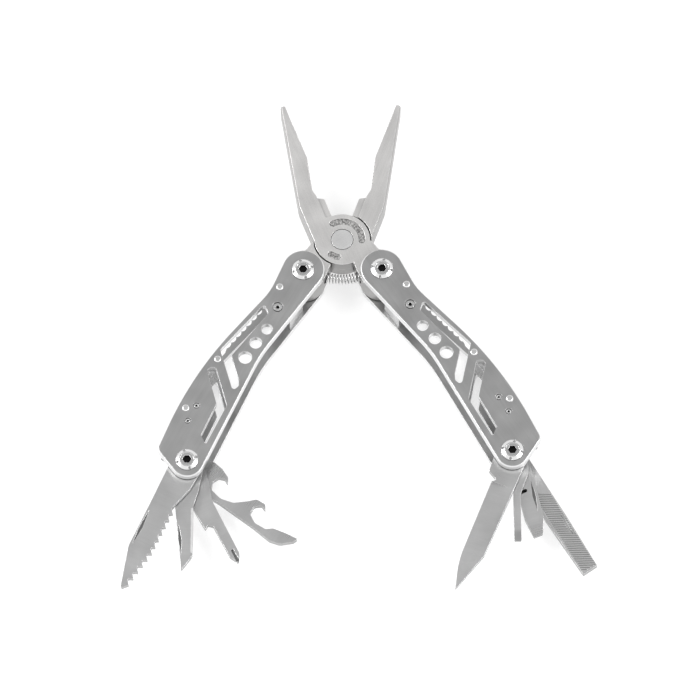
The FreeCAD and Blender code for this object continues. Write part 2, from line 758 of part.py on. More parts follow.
def small_fasteners(label, hand, places, head_radius, head_base, head_height, finish):
    """Short rivets or screws through each plate and its strip, in front and behind."""
    body = new_body(label)
    stem_start = "Sizes.handle_gap / 2 - Sizes.strip_thickness"
    for sign, up in ((1, True), (-1, False)):
        stems = new_sketch(body, f"{sign} * ({stem_start})")
        for x, y in places:
            add_circle(stems, x, y * hand, "Sizes.stem_radius")
        extrude(body, stems, f"{head_base} - ({stem_start})", up=up)
        heads = new_sketch(body, f"{sign} * ({head_base})")
        for x, y in places:
            add_circle(heads, x, y * hand, head_radius)
        extrude(body, heads, head_height, up=up)
    finish(body)
    place_in_handle(body, hand)
    return body


def round_over(amount):
    """Finish for a rivet: round its head over to a dome."""
    def finish(body):
        doc.recompute()
        tip = body.Tip
        top = tip.Shape.BoundBox.ZMax
        names = [f"Edge{number}" for number, edge in enumerate(tip.Shape.Edges, start=1)
                 if at_height(top)(edge) or at_height(-top)(edge)]
        fillet = body.newObject("PartDesign::Fillet", f"{body.Name}_dome")
        fillet.Base = (tip, names)
        fillet.setExpression("Radius", amount)
        doc.recompute()
    return finish


def drill_socket(places, hand, radius, depth, head_top):
    """Finish for a screw: a six-sided socket in every head."""
    def finish(body):
        for sign, up in ((1, False), (-1, True)):
            socket = new_sketch(body, f"{sign} * ({head_top})")
            for x, y in places:
                add_hexagon(socket, x, y * hand, radius)
            cut(body, socket, depth, up=up)
    return finish


# ---------------------------------------------------------------- the folding tools

def tool_blank(label, corners, hand, layer):
    """Flat tool with a round tang on the pivot, in one of four layers: 0 is the front one."""
    body = new_body(label)
    middle = 1.5 - layer
    tang = size("tool_tang")
    blank = new_sketch(body, f"{middle} * Sizes.tool_pitch - Sizes.tool_thickness / 2")
    add_outline(blank, corners + round_end(tang, corners[-1], corners[0]), hand)
    add_circle(blank, 0, 0, "Sizes.barrel_radius + Sizes.running_gap")
    extrude(body, blank, "Sizes.tool_thickness")
    return body, middle


def tool_top(middle):
    """Expression for the front face of the tool whose layer has this middle."""
    return f"{middle} * Sizes.tool_pitch + Sizes.tool_thickness / 2"


def nail_nick(body, middle, hand, start, end):
    """Long groove for a fingernail, thin at both ends."""
    nick = new_sketch(body, tool_top(middle))
    mid_x = (start[0] + end[0]) / 2
    mid_y = (start[1] + end[1]) / 2
    width = 0.65
    add_outline(nick, [(start[0], start[1], 0), (mid_x, mid_y + width, 4), (end[0], end[1], 0),
                       (mid_x, mid_y - width, 4)], hand)
    cut(body, nick, "Sizes.nick_depth")


def edge_bevel(body, middle, hand, start, end, width, land):
    """Grind both faces down to a thin edge along the line from start to end."""
    along = Vector(end[0] - start[0], (end[1] - start[1]) * hand, 0)
    turn = math.degrees(math.atan2(along.y, along.x))
    half = size("tool_thickness") / 2
    centre = middle * size("tool_pitch")
    over = 2.0
    section = new_sketch(body, role="YZ_Plane")
    for sign in (1, -1):
        rise = (half - land) / width
        corners = [
            (-width * hand, centre + sign * half, 0),
            (over * hand, centre + sign * (land - rise * over), 0),
            (over * hand, centre + sign * (half + over), 0),
            (-width * hand, centre + sign * (half + over), 0),
        ]
        add_outline(section, corners)
    base = Vector(start[0], start[1] * hand, 0)
    section.MapMode = "Deactivated"
    lay_down = Rotation(Vector(0, 0, 1), turn).multiply(Rotation(Vector(1, 1, 1), 120))
    section.Placement = Placement(base, lay_down)
    cut(body, section, str(along.Length), up=True)


def place_tool(body, hand, open_angle):
    """Turn a tool about its pivot: 0 degrees is straight out, 180 is folded into the handle."""
    pivot = handle_pivot(hand) + polar(SPAN, handle_direction(hand))
    place(body, pivot, handle_direction(hand) + hand * open_angle)


def saw(label, hand, layer, open_angle):
    """Wood saw: long teeth along the working edge, a nick along the back."""
    first, last = (19.0, 3.2), (55.4, 0.3)
    teeth = 12
    pitch = (last[0] - first[0]) / teeth
    bend_x = 38.0
    corners = [(9.0, 5.7, 4)]
    for number in range(teeth):
        x = first[0] + number * pitch
        beyond_bend = max(0, x - bend_x) / (last[0] - bend_x)
        root = first[1] + (last[1] - first[1]) * beyond_bend
        corners += [
            (x, root - 0.3, 0),
            (x + 0.35 * pitch, root - 0.1, 0),
            (x + 0.75 * pitch, root + 0.95, 0),
        ]
    corners += [(56.0, 0.4, 0), (56.7, 0.1, 0.3), (56.4, -0.9, 0.4), (40.3, -5.4, 3), (20.0, -5.6, 40)]
    body, middle = tool_blank(label, corners, hand, layer)
    nail_nick(body, middle, hand, (23.6, -4.6), (39.0, -4.3))
    place_tool(body, hand, open_angle)


def awl(label, hand, layer, open_angle):
    """Narrow pointed reamer with a nick on its back and a ground working edge."""
    corners = [(10.0, 4.6, 4), (16.5, 2.7, 5), (37.0, 2.9, 4), (43.2, -1.4, 0.3)]
    body, middle = tool_blank(label, corners, hand, layer)
    edge_bevel(body, middle, hand, (17.5, 2.7), (36.0, 2.9), 0.9, 0.6)
    nail_nick(body, middle, hand, (24.6, -2.75), (36.0, -1.5))
    place_tool(body, hand, open_angle)


def can_opener(label, hand, layer, open_angle):
    """Can opener hook in the back, then a narrow shank that ends in a cross point."""
    corners = [
        (9.0, 4.6, 6), (16.0, 2.4, 5), (40.6, 2.0, 2), (43.9, 0.1, 0.4), (40.2, -1.9, 1.0),
        (26.0, -1.9, 0.6), (24.6, -3.4, 0.4), (25.7, -5.2, 0.1), (15.0, -5.6, 10),
    ]
    body, middle = tool_blank(label, corners, hand, layer)
    # Two flutes run out of the cross point, one in each face.
    for face, up in ((tool_top(middle), False), (f"{tool_top(middle)} - Sizes.tool_thickness", True)):
        flute = new_sketch(body, face)
        add_outline(flute, [
            (37.8, 0.6, 0.2),
            (42.8, 0.75, 0.1),
            (43.6, 0.1, 0),
            (42.8, -0.55, 0.1),
            (37.8, -0.4, 0.2),
        ], hand)
        cut(body, flute, "Sizes.flute_depth", up=up)
    place_tool(body, hand, open_angle)


def bottle_opener(label, hand, layer, open_angle):
    """Bottle opener and can hook, one behind the other, with a flat pry tip at the end."""
    corners = [
        (1.5, 7.6, 5), (6.6, 8.6, 3), (10.6, 8.0, 2.5), (14.6, 6.3, 2), (15.7, 4.1, 0.1),      # first hook
        (13.8, 5.1, 0.9), (11.6, 4.3, 1), (10.5, 1.9, 1.6), (12.0, -1.4, 1.8), (17.0, -2.5, 4),
        (22.0, -1.2, 3), (26.4, 2.6, 2), (28.6, 5.0, 1.4), (32.6, 5.1, 1.4), (33.9, 3.1, 0.1),  # second hook
        (31.6, 3.8, 0.8), (29.5, 2.0, 1.2), (29.8, -1.4, 1.8), (33.6, -3.5, 2), (38.3, -3.3, 1),
        (40.6, -1.4, 1), (45.5, -0.4, 4), (50.8, 0.2, 0.3),                                     # pry tip
        (50.2, -1.6, 0.5), (46.3, -5.3, 4), (42.2, -6.4, 4), (34.0, -5.4, 8), (18.0, -4.4, 12),
        (6.0, -4.7, 3),
    ]
    body, middle = tool_blank(label, corners, hand, layer)
    place_tool(body, hand, open_angle)


def knife(label, hand, layer, open_angle):
    """Clip-point blade: choil at the tang, straight edge, curved belly."""
    corners = [
        (4.0, 6.0, 2), (9.9, 5.7, 0.8), (11.7, 2.6, 0.2), (12.6, 1.9, 0.4), (13.7, 3.3, 0.3),
        (48.0, 3.2, 40), (60.3, 0.0, 0.12), (43.2, -5.3, 1.5), (20.0, -5.8, 60),
    ]
    body, middle = tool_blank(label, corners, hand, layer)
    edge_bevel(body, middle, hand, (13.6, 3.3), (61.0, 3.3), 8.0, 0.2)
    place_tool(body, hand, open_angle)


def narrow_driver(label, hand, layer, open_angle):
    """Narrow flat driver, its tip thinned from both faces."""
    corners = [
        (7.0, 5.4, 3), (12.5, 0.0, 4), (34.9, 0.0, 0.5),
        (34.9, -2.8, 0.5), (15.5, -2.9, 6), (7.0, -6.0, 4),
    ]
    body, middle = tool_blank(label, corners, hand, layer)
    thin_tip(body, middle, hand, 24.0, 35.5, 4.0, 0.55)
    place_tool(body, hand, open_angle)


def wide_driver(label, hand, layer, open_angle):
    """Wide flat driver with a small oval recess and a long nick."""
    corners = [
        (9.0, 4.6, 6), (17.0, 1.7, 6), (25.5, 2.0, 6),
        (33.6, 0.7, 0.3), (33.1, -3.1, 0.8), (26.0, -5.2, 4),
    ]
    body, middle = tool_blank(label, corners, hand, layer)
    recess = new_sketch(body, tool_top(middle))
    add_outline(recess, [(13.3, -1.9, 0.6), (14.7, -2.1, 0.6), (15.1, 0.7, 0.6), (13.7, 0.9, 0.6)], hand)
    cut(body, recess, "0.75 * Sizes.tool_thickness")
    nail_nick(body, middle, hand, (10.4, -4.4), (23.6, -3.6))
    thin_tip(body, middle, hand, 25.0, 34.0, 8.0, 0.6)
    place_tool(body, hand, open_angle)


def thin_tip(body, middle, hand, start_x, end_x, half_width, tip_thickness):
    """Plane both faces of a driver down towards its tip."""
    half = size("tool_thickness") / 2
    centre = middle * size("tool_pitch")
    section = new_sketch(body, f"-{half_width}", role="XZ_Plane")
    for sign in (1, -1):
        corners = [
            (start_x, centre + sign * half, 0),
            (end_x, centre + sign * tip_thickness / 2, 0),
            (end_x, centre + sign * (half + 0.2), 0),
            (start_x, centre + sign * (half + 0.2), 0),
        ]
        add_outline(section, corners)
    cut(body, section, str(2 * half_width), up=True)


def file_tool(label, hand, layer, open_angle):
    """Metal file: slanting cuts all along the front face, a nick near its back."""
    corners = [
        (7.5, 3.4, 2), (10.5, 0.4, 3), (22.0, 0.5, 6), (27.0, 1.4, 6),
        (54.0, 0.4, 0.15), (53.4, -6.0, 0.15), (30.0, -6.4, 60),
    ]
    body, middle = tool_blank(label, corners, hand, layer)
    pitch = 0.9
    count = 41
    first_x, last_x = 15.5, 52.7
    groove = 0.4
    low_y, high_y = -5.9, 0.1
    lean = 3.7
    cuts = new_sketch(body, tool_top(middle))
    for number in range(count):
        x = first_x + number * pitch
        reach = min(1, (last_x - x) / lean)               # the last cuts stop short at the end
        end_x = x + reach * lean
        end_y = high_y + reach * (low_y - high_y)
        add_outline(cuts, [(x, high_y, 0), (x + groove, high_y, 0), (end_x + groove, end_y, 0),
                           (end_x, end_y, 0)], hand)
    cut(body, cuts, "Sizes.stripe_depth")
    nail_nick(body, middle, hand, (28.0, -4.8), (38.0, -4.7))
    place_tool(body, hand, open_angle)


# ---------------------------------------------------------------- build the tool

def handle(side, hand):
    """Everything that belongs to one handle, apart from its tools."""
    for face, front in (("front", True), ("rear", False)):
        handle_plate(f"{side}_{face}_plate", hand, front)
        lock_spring(f"{side}_{face}_lock_spring", hand, front)
        detent_spring(f"{side}_{face}_detent_spring", hand, front)
    for name, x in (("head", 0), ("tool", SPAN)):
        pivot_barrel(f"{side}_{name}_pivot_barrel", hand, x)
        pivot_screw(f"{side}_{name}_pivot_screw", hand, x)
    pitch = size("tool_pitch")
    washers(f"{side}_tool_washers", hand, SPAN, [pitch * step for step in (-2, -1, 0, 1, 2)],
            "Sizes.tool_washer_thickness")
    beside_tang = (INNER_Z + HEAD_Z) / 2
    washers(f"{side}_head_washers", hand, 0, [-beside_tang, beside_tang], "Sizes.head_washer_thickness")
    spacer_block(f"{side}_spacer_block", hand)
    spacer_pins(f"{side}_spacer_pins", hand)
    outer = "Sizes.handle_gap / 2 + Sizes.plate_thickness"
    sunk = f"{outer} - Sizes.counterbore_depth"
    small_fasteners(f"{side}_dome_rivets", hand, DOME_PLACES, "Sizes.dome_radius", outer,
                    "Sizes.dome_height", round_over("Sizes.dome_height - 0.05"))
    small_fasteners(f"{side}_socket_screws", hand, [SOCKET_SCREW_PLACE], "Sizes.socket_screw_radius", sunk,
                    "0.9", drill_socket([SOCKET_SCREW_PLACE], hand, 0.8, "0.8", f"{sunk} + 0.9"))
    small_fasteners(f"{side}_tiny_screws", hand, TINY_SCREW_PLACES, "Sizes.tiny_screw_radius", sunk,
                    "1.0", drill_socket(TINY_SCREW_PLACES, hand, 0.5, "0.6", f"{sunk} + 1.0"))


jaw_half("front_jaw_half", -1)
jaw_half("rear_jaw_half", 1)
jaw_rivet()
jaw_spring()
handle("left", 1)
handle("right", -1)
saw("wood_saw", 1, 0, 3.7)
awl("awl", 1, 1, 28.1)
can_opener("can_opener", 1, 2, 55.8)
bottle_opener("bottle_opener", 1, 3, 84.8)
knife("knife", -1, 0, 54.7)
narrow_driver("narrow_driver", -1, 1, 32.2)
wide_driver("wide_driver", -1, 2, 18.0)
file_tool("file", -1, 3, 2.9)

# ---------------------------------------------------------------- check everything and write the files

doc.recompute()
for item in doc.Objects:
    if "Invalid" in item.State or "Error" in item.State:
        raise RuntimeError(f"{item.Name} failed: {item.State}")
sub_parts = [item for item in doc.Objects if item.TypeId in ("PartDesign::Body", "Part::Feature")]
for item in sub_parts:
    if item.Shape.isNull() or not item.Shape.isValid() or not item.Shape.Solids:
        raise RuntimeError(f"{item.Label} has no valid solid")

# Move everything from the rivet's frame to the footprint's.
footprint = FreeCAD.BoundBox()
for item in sub_parts:
    footprint.add(item.Shape.BoundBox)
to_footprint = Vector(-footprint.Center.x, -footprint.Center.y, -footprint.ZMin)
for item in sub_parts:
    item.Placement = Placement(to_footprint, Rotation()).multiply(item.Placement)
doc.recompute()

os.makedirs("parts", exist_ok=True)
for item in sub_parts:
    item.Shape.exportStep(f"parts/{item.Label}.step")
print(len(sub_parts), "sub-parts written, jaw rivet at", to_footprint)
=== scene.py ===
import json
import math

import bpy
from mathutils import Matrix, Vector


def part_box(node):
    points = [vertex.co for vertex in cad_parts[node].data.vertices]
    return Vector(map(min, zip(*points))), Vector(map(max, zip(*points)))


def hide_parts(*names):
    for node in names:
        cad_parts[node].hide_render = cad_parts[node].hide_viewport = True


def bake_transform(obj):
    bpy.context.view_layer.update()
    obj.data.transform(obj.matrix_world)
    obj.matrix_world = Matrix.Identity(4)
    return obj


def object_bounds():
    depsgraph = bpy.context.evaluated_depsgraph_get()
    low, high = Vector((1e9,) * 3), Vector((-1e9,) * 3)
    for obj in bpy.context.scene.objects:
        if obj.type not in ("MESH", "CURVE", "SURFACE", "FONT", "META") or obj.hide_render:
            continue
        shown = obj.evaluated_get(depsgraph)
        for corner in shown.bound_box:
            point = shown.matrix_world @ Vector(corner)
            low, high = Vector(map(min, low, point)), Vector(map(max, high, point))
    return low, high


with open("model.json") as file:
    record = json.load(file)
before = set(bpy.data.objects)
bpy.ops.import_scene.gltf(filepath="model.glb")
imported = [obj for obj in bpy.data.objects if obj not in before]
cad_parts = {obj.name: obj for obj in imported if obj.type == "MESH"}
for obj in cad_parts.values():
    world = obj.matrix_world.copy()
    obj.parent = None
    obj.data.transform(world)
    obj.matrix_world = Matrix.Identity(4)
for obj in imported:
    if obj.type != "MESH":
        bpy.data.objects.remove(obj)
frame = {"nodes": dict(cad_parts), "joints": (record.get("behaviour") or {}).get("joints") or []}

# Looks of the folding multi tool. Metres, in the CAD part's frame: +Z up, +Y towards the jaw tips.

MM = 0.001
CAD_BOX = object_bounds()
JOINTS = {joint["name"]: joint for joint in frame["joints"]}
RIVET = Vector(JOINTS["jaw_close"]["pos_m"])
SIDES = ("left", "right")
TOOLS = {
    "left": ("wood_saw", "awl", "can_opener", "bottle_opener"),
    "right": ("knife", "narrow_driver", "wide_driver", "file"),
}


def pivot(joint):
    """Point that a joint turns about."""
    return Vector(JOINTS[joint]["pos_m"])


def handle_angle(side):
    """Direction of a handle from its head pivot to its tool pivot, in radians."""
    along = pivot(f"{TOOLS[side][0]}_fold") - pivot(f"{side}_handle_fold")
    return math.atan2(along.y, along.x)


def tool_angle(side, tool):
    """Direction in which a tool points, in radians.

    A tool joint's lower limit is where the tool lines up with its handle.
    """
    joint = JOINTS[f"{tool}_fold"]
    opened = -math.radians(joint["range_deg"][0])
    return handle_angle(side) + joint["axis"][2] * opened


# ---------------------------------------------------------------- shader helpers

# Noise cells per metre of each pattern in the steel; the threes are along the brushing, then across it.
LINE_CELLS = (90.0, 5200.0, 5200.0)
STREAK_CELLS = (25.0, 700.0, 700.0)
CLOUD_CELLS = 70.0
GRAIN_CELLS = 3200.0

EDGE_RADIUS = 0.22 * MM
CREVICE_REACH = 1.2 * MM
BUMP_DEPTH = 0.02 * MM


class Shader:
    """A material under construction, with short calls for the nodes that the steels share."""

    def __init__(self, name):
        self.material = bpy.data.materials.new(name)
        self.material.use_nodes = True
        self.tree = self.material.node_tree
        self.surface = self.tree.nodes["Principled BSDF"]

    def node(self, kind, **settings):
        """Add a node and set its properties."""
        made = self.tree.nodes.new(kind)
        for name, value in settings.items():
            setattr(made, name, value)
        return made

    def link(self, source, target):
        self.tree.links.new(source, target)

    def feed(self, target, value):
        """Give an input a socket or a plain value."""
        if isinstance(value, bpy.types.NodeSocket):
            self.link(value, target)
        else:
            target.default_value = value

    def place(self):
        """Coordinates in metres that stay with the piece when it moves."""
        return self.node("ShaderNodeTexCoord").outputs["Object"]

    def turned(self, angle, stretch):
        """Coordinates turned so that x runs along the angle, then stretched on each axis."""
        turn = self.node("ShaderNodeMapping", vector_type="TEXTURE")
        self.link(self.place(), turn.inputs["Vector"])
        turn.inputs["Rotation"].default_value = (0, 0, angle)
        scale = self.node("ShaderNodeMapping")
        self.link(turn.outputs["Vector"], scale.inputs["Vector"])
        scale.inputs["Scale"].default_value = stretch
        return scale.outputs["Vector"]

    def noise(self, vector, scale=1.0, detail=2.0, roughness=0.5):
        """Noise value from 0 to 1."""
        made = self.node("ShaderNodeTexNoise")
        self.link(vector, made.inputs["Vector"])
        made.inputs["Scale"].default_value = scale
        made.inputs["Detail"].default_value = detail
        made.inputs["Roughness"].default_value = roughness
        return made.outputs["Fac"]

    def maths(self, operation, first, second=0.0, clamp=False):
        made = self.node("ShaderNodeMath", operation=operation, use_clamp=clamp)
        self.feed(made.inputs[0], first)
        self.feed(made.inputs[1], second)
        return made.outputs[0]

    def spread(self, value, low, high, to_low, to_high):
        """Map a value from one range to another, held at both ends."""
        made = self.node("ShaderNodeMapRange")
        for number, item in enumerate((value, low, high, to_low, to_high)):
            self.feed(made.inputs[number], item)
        return made.outputs["Result"]

    def mix(self, share, first, second):
        """Mix two colours."""
        made = self.node("ShaderNodeMix", data_type="RGBA")
        self.feed(made.inputs["Factor"], share)
        self.feed(made.inputs["A"], first)
        self.feed(made.inputs["B"], second)
        return made.outputs["Result"]

    def away_from(self, centre):
        """Distance from an upright axis through a point, in metres."""
        parts = self.node("ShaderNodeSeparateXYZ")
        self.link(self.place(), parts.inputs[0])
        across = self.maths("SUBTRACT", parts.outputs["X"], centre.x)
        along = self.maths("SUBTRACT", parts.outputs["Y"], centre.y)
        squares = self.maths("ADD", self.maths("POWER", across, 2.0), self.maths("POWER", along, 2.0))
        return self.maths("SQRT", squares)

    def edges(self, radius):
        """Rounded normal, and a mask that is 1 on sharp edges."""
        rounded = self.node("ShaderNodeBevel", samples=6)
        rounded.inputs["Radius"].default_value = radius
        flat = self.node("ShaderNodeNewGeometry")
        dot = self.node("ShaderNodeVectorMath", operation="DOT_PRODUCT")
        self.link(rounded.outputs["Normal"], dot.inputs[0])
        self.link(flat.outputs["Normal"], dot.inputs[1])
        return rounded.outputs["Normal"], self.spread(dot.outputs["Value"], 0.80, 0.995, 1.0, 0.0)

    def heights(self):
        """Height in metres in the tool's frame, and how steep the surface is: 0 flat, 1 upright."""
        parts = self.node("ShaderNodeSeparateXYZ")
        self.link(self.place(), parts.inputs[0])
        facing = self.node("ShaderNodeSeparateXYZ")
        self.link(self.node("ShaderNodeNewGeometry").outputs["True Normal"], facing.inputs[0])
        upright = self.maths("SUBTRACT", 1.0, self.maths("ABSOLUTE", facing.outputs["Z"]))
        return parts.outputs["Z"], upright

    def from_middle(self):
        """Distance in metres from the tool's middle plane, in front of it or behind."""
        height, _ = self.heights()
        return self.maths("ABSOLUTE", self.maths("SUBTRACT", height, RIVET.z))

    def crevices(self, distance):
        """1 in tight corners, 0 in the open."""
        shade = self.node("ShaderNodeAmbientOcclusion", samples=6)
        shade.inputs["Distance"].default_value = distance
        return self.spread(shade.outputs["AO"], 0.35, 0.9, 1.0, 0.0)


def grey(level, warmth=0.0):
    """Neutral steel colour; warmth shifts it towards yellow."""
    return (level * (1 + warmth), level, level * (1 - warmth), 1.0)


def steel(name, colour, roughness, angle, brush=0.5, wear=0.5, cast=0.0, crevice_shade=0.5, wall_sheen=0.3,
          shade=0.0, relief=None):
    """Stainless steel brushed along an angle.

    The numbers from brush to shade run from 0 to 1: depth of the brush lines, brightness of wear on sharp
    edges, depth of the cast or blasted grain, painted shade in tight corners, and a painted sheen and painted
    shade on bevels and side walls.
    relief(shader) may return (darkness, height) sockets for details of one piece; the darkness is painted
    shade in hollows, and on the front disc also its stamped grain.
    """
    shader = Shader(name)
    lines = shader.noise(shader.turned(angle, LINE_CELLS), detail=3.0, roughness=0.6)
    streaks = shader.noise(shader.turned(angle, STREAK_CELLS), detail=2.0)
    clouds = shader.noise(shader.place(), scale=CLOUD_CELLS, detail=3.0)
    grain = shader.noise(shader.place(), scale=GRAIN_CELLS, detail=2.0)

    tone = shader.spread(lines, 0.25, 0.75, 1.0 - 0.16 * brush, 1.0 + 0.10 * brush)
    for pattern, darker, lighter in (
            (streaks, 0.10 * brush, 0.06 * brush),
            (clouds, 0.05, 0.04),
            (grain, 0.14 * cast, 0.08 * cast)):
        layer = shader.spread(pattern, 0.3, 0.7, 1.0 - darker, 1.0 + lighter)
        tone = shader.maths("MULTIPLY", tone, layer)
    body = shader.node("ShaderNodeVectorMath", operation="SCALE")
    body.inputs[0].default_value = colour[:3]
    shader.link(tone, body.inputs["Scale"])

    normal, sharp = shader.edges(EDGE_RADIUS)
    _, upright = shader.heights()
    # Painted sheen: bevels and side walls get a lighter colour that stands in for the bright floor they
    # reflect.
    painted_sheen = shader.spread(upright, 0.1, 0.3, 0.0, wall_sheen)
    # Lighter colour from wear on sharp edges, together with the painted sheen of the walls.
    wear_and_sheen = shader.maths("MAXIMUM", painted_sheen, shader.maths("MULTIPLY", sharp, wear, clamp=True))
    painted = shader.mix(wear_and_sheen, body.outputs[0], grey(min(1.0, colour[1] * 1.6)))
    # Painted shade: bevels and side walls darkened towards black.
    painted = shader.mix(shader.spread(upright, 0.05, 0.15, 0.0, shade), painted, grey(0.08))
    # Painted shade in tight corners, found by ambient occlusion.
    crevice_shade_mix = shader.maths("MULTIPLY", shader.crevices(CREVICE_REACH), 0.55 * crevice_shade)
    painted = shader.mix(crevice_shade_mix, painted, grey(0.06))

    rough = shader.spread(lines, 0.2, 0.8, roughness - 0.07 * brush, roughness + 0.10 * brush)
    rough = shader.maths("ADD", rough, shader.spread(clouds, 0.3, 0.7, -0.03, 0.04))
    rough = shader.maths("SUBTRACT", rough, shader.maths("MULTIPLY", wear_and_sheen, 0.08), clamp=True)

    height = shader.maths("ADD", shader.maths("MULTIPLY", lines, brush),
                          shader.maths("MULTIPLY", grain, cast * 2.5))
    if relief is not None:
        # Painted shade in the hollows of some pieces, and the front disc's stamped grain.
        darkness, extra = relief(shader)
        painted = shader.mix(darkness, painted, grey(0.02))
        height = shader.maths("ADD", height, extra)
    bump = shader.node("ShaderNodeBump")
    bump.inputs["Strength"].default_value = 0.35
    bump.inputs["Distance"].default_value = BUMP_DEPTH
    shader.link(height, bump.inputs["Height"])
    shader.link(normal, bump.inputs["Normal"])

    tangent = shader.node("ShaderNodeVectorTransform", vector_type="VECTOR",
                          convert_from="OBJECT", convert_to="WORLD")
    tangent.inputs[0].default_value = (math.cos(angle), math.sin(angle), 0.0)
    surface = shader.surface
    surface.inputs["Metallic"].default_value = 1.0
    surface.inputs["Anisotropic"].default_value = 0.55 * brush
    shader.link(tangent.outputs[0], surface.inputs["Tangent"])
    shader.link(painted, surface.inputs["Base Color"])
    shader.link(rough, surface.inputs["Roughness"])
    shader.link(bump.outputs["Normal"], surface.inputs["Normal"])
    return shader.material


# ---------------------------------------------------------------- details of single pieces

def socket_shade(centres, radius, head_height):
    """Relief that paints shade into driver sockets: it blackens whatever is near an axis and below the face
    of its head.

    head_height is from the tool's middle plane to that face, in front and behind.
    """
    def relief(shader):
        nearest = None
        for centre in centres:
            distance = shader.away_from(centre)
            nearest = distance if nearest is None else shader.maths("MINIMUM", nearest, distance)
        # Painted shade: inside a socket and below its head face.
        inside = shader.maths("LESS_THAN", nearest, radius)
        below = shader.maths("LESS_THAN", shader.from_middle(), head_height - 0.2 * MM)
        return shader.maths("MULTIPLY", inside, below), 0.0
    return relief


def stamped_recess(shader):
    """Relief of the front disc: coarse dark grain on the floors of its sunken fields, and painted shade on
    their steep walls.
    """
    height, upright = shader.heights()
    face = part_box("front_jaw_half")[1].z
    outer_radius = 9.3 * MM
    grit_cells = 1700.0
    sunk = shader.spread(height, face - 0.3 * MM, face - 0.1 * MM, 1.0, 0.0)
    on_disc = shader.maths("LESS_THAN", shader.away_from(RIVET), outer_radius)
    above = shader.maths("GREATER_THAN", height, face - 0.5 * MM)
    field = shader.maths("MULTIPLY", shader.maths("MULTIPLY", sunk, on_disc), above)
    grit = shader.noise(shader.place(), scale=grit_cells, detail=1.0)
    darkness = shader.spread(grit, 0.35, 0.65, 0.75, 0.05)
    # Painted shade on the steep walls of the sunken fields.
    edge = shader.spread(upright, 0.2, 0.5, 0.0, 0.8)
    darkness = shader.maths("MULTIPLY", field, shader.maths("MAXIMUM", darkness, edge))
    return darkness, shader.maths("MULTIPLY", field, grit)


def shade_below_face(head_height):
    """Relief that paints shade into a screw's socket: it blackens all of the screw that lies deeper than the
    face of its head.
    """
    def relief(shader):
        from_middle = shader.from_middle()
        return shader.spread(from_middle, head_height - 0.3 * MM, head_height - 0.2 * MM, 1.0, 0.0), 0.0
    return relief


def floor_shade(top):
    """Relief that paints shade on flat floors sunk into a tool's face: nail nicks, and deeper recesses more.
    """
    def relief(shader):
        height, upright = shader.heights()
        depth = shader.maths("SUBTRACT", top, height)
        flat = shader.spread(upright, 0.001, 0.003, 1.0, 0.0)
        sunk = shader.spread(depth, 0.4 * MM, 0.5 * MM, 0.0, 1.0)
        inside = shader.spread(depth, 1.9 * MM, 2.0 * MM, 1.0, 0.0)
        strength = shader.spread(depth, 0.7 * MM, 1.2 * MM, 0.6, 1.0)
        # Painted shade on sunk floors, stronger in deeper recesses.
        darkness = shader.maths("MULTIPLY", shader.maths("MULTIPLY", flat, sunk), inside)
        return shader.maths("MULTIPLY", darkness, strength), 0.0
    return relief


def file_cuts(top, angle):
    """Relief of the file: painted shade on the floors between the cuts, and finer cuts crossing them."""
    cross_pitch = 0.45 * MM

    def relief(shader):
        height, _ = shader.heights()
        depth = shader.maths("SUBTRACT", top, height)
        # Painted shade on the floors between the cuts.
        floors = shader.spread(depth, 0.05 * MM, 0.15 * MM, 0.0, 0.6)
        inside = shader.spread(depth, 0.25 * MM, 0.3 * MM, 1.0, 0.0)
        across = shader.node("ShaderNodeSeparateXYZ")
        shader.link(shader.turned(angle, (2 * math.pi / cross_pitch, 1.0, 1.0)), across.inputs[0])
        teeth = shader.maths("SINE", across.outputs["X"])
        return shader.maths("MULTIPLY", floors, inside), shader.maths("MULTIPLY", teeth, 1.5)
    return relief


# ---------------------------------------------------------------- the jaw spring

SPRING_WIRE_RADIUS = 0.25 * MM


def spring_path():
    """Points along the spring's wire, each with the direction from the middle of its turn.

    The turns sit on an arc that bends around a centre above the spring, towards the head rivet. end_lean is
    about the sine of the angle by which the last turns lean outwards.
    """
    low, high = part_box("jaw_spring")
    turns = 14
    steps_per_turn = 16
    bend_radius = 22.9 * MM
    end_lean = 0.35
    coil_radius = (high.z - low.z) / 2 - SPRING_WIRE_RADIUS
    half_width = (high.x - low.x) / 2 - SPRING_WIRE_RADIUS - end_lean * coil_radius
    swing_limit = math.asin(half_width / bend_radius)
    bend_centre = Vector((RIVET.x, low.y + SPRING_WIRE_RADIUS + coil_radius + bend_radius, RIVET.z))
    up = Vector((0.0, 0.0, 1.0))
    steps = turns * steps_per_turn
    path = []
    for step in range(steps + 1):
        swing = (2 * step / steps - 1) * swing_limit
        wind = 2 * math.pi * step / steps_per_turn
        away = Vector((math.sin(swing), -math.cos(swing), 0.0))
        out = away * math.cos(wind) + up * math.sin(wind)
        path.append((bend_centre + away * bend_radius + out * coil_radius, out))
    return path


